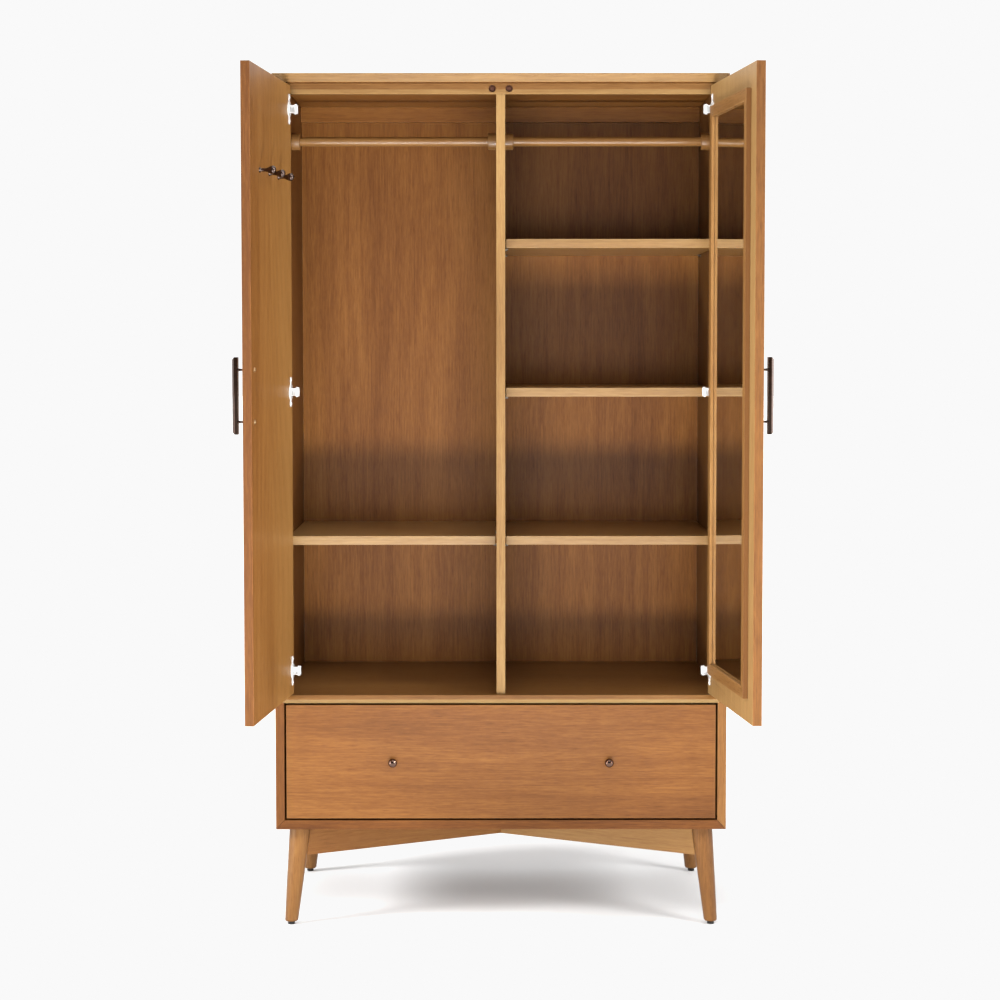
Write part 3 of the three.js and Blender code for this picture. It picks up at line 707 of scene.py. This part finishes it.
CUP_SEAT = 19.2 * MM  # the plane a hinge cup sits on, just off its door's inner face
SCREW_SEAT = 19.1 * MM  # the plane a handle screw's head sits on, just off that face
CUP_INSET = 21.5 * MM  # from a door's hinge edge to the middle of a cup
FLANGE_SCREW = 26.5 * MM  # from the middle of a cup to each screw of its flange
CUP_FLANGE = (
    arc(5.0, 31.0, 2.0, 0, 90, 5)
    + arc(-5.0, 31.0, 2.0, 90, 180, 5)
    + arc(-5.0, -31.0, 2.0, 180, 270, 5)
    + arc(5.0, -31.0, 2.0, 270, 360, 5)
)
CUP_PROFILE = [(13.0, -10.2), (17.2, -10.2), (17.2, 1.6), (16.9, 2.1), (16.2, 2.2)]
CUP_PROFILE += [(15.6, 1.9), (15.4, 1.2), (15.0, -9.0), (0.0, -9.0)]


def flared_plate(bm, xs, ys):
    """A plate of the link that stands off the door and spreads away from it."""
    rings = []
    for height, spread in ((0.6, 0.0), (9.0, 0.2), (17.7, 2.4)):
        low, high = (y + math.copysign(spread, y) for y in ys)
        corners = ((xs[0], low), (xs[1], low), (xs[1], high), (xs[0], high))
        rings.append([(x * MM, y * MM, height * MM) for x, y in corners])
    add_rings(bm, rings)


def hinge_cup(name, side, level):
    """The door half of a hinge: pressed flange, cup, link plates, pin and screws."""
    run = -side
    node = f"{name}_hinge_cup_{level}"
    body = f"{name}_door"
    height = middle(node).z
    # In these coordinates z runs off the door's inner face and y down the door.
    place = DOOR[side] @ at(CUP_INSET * run, CUP_SEAT, height) @ turn("X", -90)
    bm = slab(CUP_FLANGE, 0.1, 1.5)
    turned(CUP_PROFILE, bm=bm)
    near, far = -12.5 * run, 4.5 * run  # where the link starts and ends, across the door
    outer, inner = 8.0, 6.6  # its sides' faces, from its middle
    flared_plate(bm, sorted((near, near + 1.6 * run)), (-outer, outer))
    for way in (-1, 1):
        flared_plate(bm, sorted((near, far)), sorted((way * outer, way * inner)))
    made = piece(f"{node}_pressing", body, bm, place, NICKEL, [node], sharp=30)
    soften(made, 0.35 * MM, 2, 50)
    pin = turned([(1.6, -11.2), (2.1, -10.8), (2.1, 10.8), (1.6, 11.2)], 24)
    spot = place @ at((near + far) / 2 * MM, 0, 13.5 * MM) @ turn("X", 90)
    piece(f"{node}_pin", body, pin, spot, NICKEL)
    for word, end in (("upper", -1), ("lower", 1)):
        spot = place @ at(0, end * FLANGE_SCREW, 1.5 * MM) @ turn("Z", 20 * end)
        screw(f"{node}_screw_{word}", body, NICKEL_SCREW, spot)


def hinge_arm(name, side, level):
    """The case half of a hinge: a channel on a mounting plate, with its screws."""
    node = f"{name}_hinge_arm_{level}"
    lo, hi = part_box(node)
    wall = lo.x if side < 0 else hi.x
    centre = middle(node)
    # In these coordinates z runs off the side board, x to the back and y up or down.
    frame_axes = Matrix(((0, 0, -side, 0), (1, 0, 0, 0), (0, -side, 0, 0), (0, 0, 0, 1)))
    place = at(wall, centre.y, centre.z) @ frame_axes
    plate = (
        arc(-4.0, 17.0, 5.0, 90, 180, 6)
        + [(-9.0, 8.5), (-20.0, 8.5)]
        + arc(-23.0, 5.5, 3.0, 90, 180, 4)
        + arc(-23.0, -5.5, 3.0, 180, 270, 4)
        + [(-20.0, -8.5), (-9.0, -8.5)]
        + arc(-4.0, -17.0, 5.0, 180, 270, 6)
        + arc(6.0, -17.0, 5.0, 270, 360, 6)
        + [(11.0, -8.5), (24.0, -8.5)]
        + arc(25.0, -6.5, 2.0, 270, 360, 4)
        + arc(25.0, 6.5, 2.0, 0, 90, 4)
        + [(24.0, 8.5), (11.0, 8.5)]
        + arc(6.0, 17.0, 5.0, 0, 90, 6)
    )
    plate_top = 1.6
    bm = slab(plate, 0.0, plate_top)
    outer, inner, height, roof = 7.3, 6.0, 10.4, 9.1  # the channel's sides and its top
    side_view = [(-30.0, 1.7), (-30.0, 4.6), (-28.2, 7.6), (-24.5, 9.8), (-20.0, height)]
    side_view += [(20.0, height), (26.0, 7.0), (29.4, 3.4), (29.4, 1.7)]
    for way in (-1, 1):
        rings = [[(x * MM, way * y * MM, z * MM) for x, z in side_view] for y in (inner, outer)]
        add_rings(bm, rings)
    slab([(-26.0, -outer), (21.0, -outer), (21.0, outer), (-26.0, outer)], roof, height, bm)
    made = piece(f"{node}_channel", "cabinet", bm, place, NICKEL, [node], sharp=30)
    soften(made, 0.3 * MM, 2, 50)
    for word, y in (("upper", 17.0), ("lower", -17.0)):
        spot = place @ at(1.0 * MM, y * MM, plate_top * MM)
        screw(f"{node}_screw_{word}", "cabinet", NICKEL_SCREW, spot)
    for word, x in (("front", -12.0), ("back", 11.0)):
        spot = place @ at(x * MM, 0, height * MM)
        screw(f"{node}_adjuster_{word}", "cabinet", SMALL_SCREW, spot)


for name, side in SIDES:
    for level in LEVELS:
        hinge_cup(name, side, level)
        hinge_arm(name, side, level)


# ---- Handles, knobs, pegs ------------------------------------------------------------


def handle(name, side):
    """A faceted bar on two slim posts."""
    node = f"{name}_door_handle"
    lo, hi = box_in(nodes[node], DOOR[side])
    centre = (lo + hi) / 2
    thick, chamfer, half_width = 12 * MM, 5 * MM, 7.5 * MM
    rings = []
    for depth, inset in ((thick, 0.0), (chamfer, 0.0), (0.0, chamfer)):
        y, half, along = lo.y + depth, half_width - inset, (hi.z - lo.z) / 2 - inset
        rings.append([(-half, y, -along), (half, y, -along), (half, y, along), (-half, y, along)])
    bm = add_rings(bmesh.new(), rings)
    place = DOOR[side] @ at(centre.x, 0, centre.z)
    bar = piece(node + "_bar", f"{name}_door", bm, place, BRONZE, [node])
    soften(bar, 0.7 * MM, 3)
    post_profile = [(4.2, 0.3), (4.2, 1.1), (2.5, 1.9), (2.2, 7.0)]
    post_profile += [(2.9, 13.0), (3.6, 15.4), (3.6, 16.0)]
    for word, z in (("upper", 53.5), ("lower", -53.5)):
        post = turned(post_profile, 40)
        spot = place @ at(0, 0, z * MM) @ turn("X", 90)
        piece(f"{node}_post_{word}", f"{name}_door", post, spot, BRONZE)
        if side < 0:
            spot = place @ at(0, SCREW_SEAT, z * MM) @ turn("X", -90) @ turn("Z", 35)
            screw(f"{node}_screw_{word}", f"{name}_door", HANDLE_SCREW, spot)


for name, side in SIDES:
    handle(name, side)


def coat_peg(node):
    """A peg that flares from a slim neck to a rounded head."""
    lo, hi = box_in(nodes[node], DOOR[-1])
    foot = [(0.0, 0.0), (5.6, 0.0), (5.8, 0.7), (5.2, 1.5), (4.0, 2.4), (3.6, 4.0)]
    neck = [(3.6, 13.2), (4.4, 15.6), (6.0, 19.2), (7.4, 22.4), (8.3, 24.8), (8.75, 26.6)]
    head = [(8.75, 28.2), (8.3, 30.2), (7.4, 32.0), (6.1, 33.5), (4.5, 34.4), (2.6, 34.9), (0.0, 35.0)]
    peg = turned(foot + neck + head, 72)
    place = DOOR[-1] @ at((lo.x + hi.x) / 2, lo.y, (lo.z + hi.z) / 2) @ turn("X", -90)
    piece(f"{node}_turned", "left_door", peg, place, POLISHED, [node], 50)


def knob(node):
    """A round knob on a short waisted neck, with its screw inside the drawer."""
    centre = middle(node)
    front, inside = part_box(node)[1].y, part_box("drawer_front")[1].y
    profile = [(0.0, 0.0), (6.0, 0.0), (6.2, 0.6), (5.6, 1.3), (4.9, 2.2), (4.7, 5.0), (5.2, 7.2)]
    radius, ball_height, first_angle, steps = 10.3, 17.0, 30, 18
    for step in range(steps + 1):
        angle = math.radians(first_angle + (180 - first_angle) * step / steps)
        profile.append((radius * math.sin(angle), ball_height - radius * math.cos(angle)))
    place = at(centre.x, front, centre.z) @ turn("X", 90)
    ball = turned(profile, 72)
    piece(f"{node}_turned", "drawer", ball, place, COPPER, [node], 50)
    spot = at(centre.x, inside, centre.z) @ turn("X", -90)
    screw(f"{node}_screw", "drawer", HANDLE_SCREW, spot)


for i in (1, 2, 3):
    coat_peg(f"coat_peg_{i}")
for name in ("left", "right"):
    knob(f"drawer_{name}_knob")


# ---- Small hardware ------------------------------------------------------------------


def shelf_pins(node):
    """Four pins under a shelf, let into the walls at its ends."""
    lo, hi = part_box(node)
    gap, below = 2.5 * MM, 2.6 * MM  # from the shelf's end to the wall, and down to the pin
    front_inset, back_inset = 36 * MM, 60 * MM
    profile = [(2.5, -3.0), (2.5, 0.0), (3.8, 0.1), (3.8, 0.9), (2.5, 1.2), (2.5, 6.4), (2.0, 7.0)]
    for end, wall, facing in (("left", lo.x - gap, 1), ("right", hi.x + gap, -1)):
        for row, y in (("front", lo.y + front_inset), ("back", hi.y - back_inset)):
            pin = turned(profile, 32)
            spot = at(wall, y, lo.z - below) @ turn("Y", 90 * facing)
            piece(f"{node}_pin_{end}_{row}", "cabinet", pin, spot, STEEL)


for node in ("left_shelf", "right_shelf_lower", "right_shelf_middle", "right_shelf_upper"):
    shelf_pins(node)


def catch(name, side):
    """A magnetic catch let into the stop rail, where a shut door's free corner meets it."""
    rail = middle("top_stop_rail")
    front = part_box("top_stop_rail")[0].y
    from_middle = 18.8 * MM
    profile = [(0.0, -10.0), (7.9, -10.0), (7.9, -0.9), (7.5, -0.5), (6.9, -0.7)]
    profile += [(6.5, -3.2), (5.6, -4.6), (5.4, -3.9), (4.9, -3.6), (0.0, -3.6)]
    spot = at(side * from_middle, front, rail.z) @ turn("X", 90)
    piece(f"{name}_catch", "cabinet", turned(profile, 48), spot, BROWN, sharp=25)


def back_screws():
    """Rows of screws round the back panel and down its middle, each turned its own way."""
    lo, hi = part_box("back_panel")
    inset = 12 * MM  # from the panel's edges
    row_start, row_count = 50 * MM, 6
    column_start, column_count = 200 * MM, 7
    for word, z in (("top", hi.z - inset), ("bottom", lo.z + inset)):
        for i in range(row_count):
            x = lo.x + row_start + i * (hi.x - lo.x - 2 * row_start) / (row_count - 1)
            spot = at(x, hi.y, z) @ turn("X", -90) @ turn("Z", 31 * i)
            screw(f"back_screw_{word}_{i + 1}", "cabinet", PANEL_SCREW, spot)
    for word, x in (("left", lo.x + inset), ("middle", 0.0), ("right", hi.x - inset)):
        for i in range(column_count):
            z = lo.z + column_start + i * (hi.z - lo.z - 2 * column_start) / (column_count - 1)
            spot = at(x, hi.y, z) @ turn("X", -90) @ turn("Z", 47 * i)
            screw(f"back_screw_{word}_{i + 1}", "cabinet", PANEL_SCREW, spot)


for name, side in SIDES:
    catch(name, side)
back_screws()


# ---- Floor, light and camera ---------------------------------------------------------

WHITE = 0.947  # the palest tone of the picture, which the floor and its surroundings share
FLOOR_RADIUS, WALL_RADIUS, WALL_HEIGHT = 60.0, 58.0, 40.0


def drum(name, radius, low, high):
    """A wide, closed drum round the cabinet, from a low level to a high one."""
    bm = add_rings(bmesh.new(), [circle(radius, z, 96) for z in (low, high)])
    mesh = bpy.data.meshes.new(name)
    bm.to_mesh(mesh)
    bm.free()
    obj = bpy.data.objects.new(name, mesh)
    bpy.context.scene.collection.objects.link(obj)
    return obj


def make_floor(glow):
    """A pale, faintly lit studio floor."""
    floor = drum("floor", FLOOR_RADIUS, -0.02, 0.0)
    material, t, shader = new_material(
        "pale_floor", IOR=1.4, Emission_Color=(1, 1, 1, 1), Emission_Strength=glow
    )
    place = t.add("ShaderNodeTexCoord").outputs["Object"]
    cloud = t.noise(place, (0.8, 0.8, 0.8), 3.0)
    tint = [(0.3, (0.80, 0.80, 0.80)), (0.7, (0.83, 0.83, 0.83))]
    t.plug(shader.inputs["Base Color"], t.ramp(cloud, tint))
    t.plug(shader.inputs["Roughness"], t.span(cloud, 0.3, 0.7, 0.7, 0.8))
    floor.data.materials.append(material)


def make_backdrop():
    """A far white wall all round, which only the camera sees. It lights nothing."""
    wall = drum("backdrop", WALL_RADIUS, -0.01, WALL_HEIGHT)
    material, _, _ = new_material(
        "white_wall", Base_Color=(0, 0, 0, 1), Emission_Color=(1, 1, 1, 1), Emission_Strength=1.1
    )
    wall.data.materials.append(material)
    wall.visible_diffuse = False
    wall.visible_glossy = False
    wall.visible_transmission = False
    wall.visible_shadow = False


def make_world(behind, before):
    """A pale studio, brighter behind the cabinet than in front of it."""
    world = bpy.data.worlds.new("studio")
    world.use_nodes = True
    t = Tree(world.node_tree)
    background = next(n for n in world.node_tree.nodes if n.type == "BACKGROUND")
    _, back, _ = t.split(t.add("ShaderNodeTexCoord").outputs["Generated"])
    strength = t.span(back, -0.3, 0.1, before, behind)
    t.plug(background.inputs["Strength"], strength)
    background.inputs["Color"].default_value = (1, 1, 1, 1)
    bpy.context.scene.world = world


def area_light(name, where, aim, size, power, glint=False, spread=180):
    """A soft panel in watts, which lights surfaces or only leaves a glint on them."""
    light = bpy.data.lights.new(name, "AREA")
    light.shape = "RECTANGLE"
    light.size, light.size_y = size
    light.energy = power
    light.spread = math.radians(spread)
    obj = bpy.data.objects.new(name, light)
    bpy.context.scene.collection.objects.link(obj)
    obj.location = where
    obj.rotation_euler = (Vector(aim) - Vector(where)).to_track_quat("-Z", "Y").to_euler()
    obj.visible_camera = False
    obj.visible_diffuse = not glint
    obj.visible_glossy = glint


def sun(name, azimuth, height, strength, spread, glint=True):
    """A far, soft light. Azimuth runs in degrees from straight in front to the right."""
    light = bpy.data.lights.new(name, "SUN")
    light.energy = strength
    light.angle = math.radians(spread)
    obj = bpy.data.objects.new(name, light)
    bpy.context.scene.collection.objects.link(obj)
    a, h = math.radians(azimuth), math.radians(height)
    ahead = Vector((-math.sin(a) * math.cos(h), math.cos(a) * math.cos(h), -math.sin(h)))
    obj.rotation_euler = ahead.to_track_quat("-Z", "Y").to_euler()
    obj.visible_glossy = glint


make_floor(glow=0.01)
make_backdrop()
make_world(behind=1.05, before=0.2)

# Each panel: its place, what it faces, its width and height, and its power.
area_light("low_panel", (0, -1.81, 0.17), (0, -1.66, 1.18), (1.0, 0.45), 142)
area_light("rod_glint", (0, -1.81, 0.2), (0, 0.24, 1.79), (1.8, 0.3), 2.2, glint=True, spread=50)
area_light("left_glint", (-2.6, -1.1, 0.6), (-0.2, -0.1, 0.5), (1.4, 1.1), 45, glint=True)
area_light("right_glint", (2.6, -1.5, 1.3), (0.2, -0.1, 0.9), (1.4, 1.5), 60, glint=True)
area_light("front_panel", (0, -5.6, 0.7), (0, 0.2, 1.0), (2.6, 1.0), 177)
area_light("right_rim", (3.0, 0.4, 1.2), (0.56, -0.43, 1.2), (0.5, 1.2), 14, glint=True)
area_light("left_rim", (-3.0, 0.4, 1.2), (-0.56, -0.43, 1.2), (0.5, 1.2), 4, glint=True)

# Each sun: its azimuth, height, strength and how wide it looks.
sun("left_key", -62, 33, 3.6, 18)
sun("right_fill", 48, 33, 2.0, 20)
sun("overhead", 0, 68, 1.0, 50)
sun("high_front", 0, 30, 1.15, 25, glint=False)
sun("low_left", -48, 6, 0.25, 10, glint=False)


def make_camera(place, pitch, yaw, roll, lens):
    """A camera in the case's frame. It looks back along y, pitched down, in degrees."""
    data = bpy.data.cameras.new("camera")
    data.sensor_width = 36
    data.lens = lens
    data.clip_start, data.clip_end = 0.1, 200
    camera = bpy.data.objects.new("camera", data)
    bpy.context.scene.collection.objects.link(camera)
    pitch, yaw, roll = (math.radians(a) for a in (pitch, yaw, roll))
    ahead = Vector((math.sin(yaw) * math.cos(pitch), math.cos(yaw) * math.cos(pitch), -math.sin(pitch)))
    level = Vector((math.cos(yaw), -math.sin(yaw), 0))
    up = level.cross(ahead)
    right = math.cos(roll) * level + math.sin(roll) * up
    up = right.cross(ahead)
    axes = Matrix((right, up, -ahead)).transposed().to_4x4()
    camera.matrix_world = CASE @ at(*place) @ axes
    bpy.context.scene.camera = camera


# The camera's place and aim were worked out from where the case's edges are in the photo.
make_camera(place=(-0.0083, -5.4329, 1.3130), pitch=3.641, yaw=0.067, roll=-0.026, lens=87.52)

# White stops at the photo's own white.
view = bpy.context.scene.view_settings
view.view_transform = "Standard"
view.look = "None"
view.use_curve_mapping = True
view.curve_mapping.extend = "HORIZONTAL"
curve = view.curve_mapping.curves[3]
curve.points[1].location = (WHITE, WHITE)
view.curve_mapping.update()
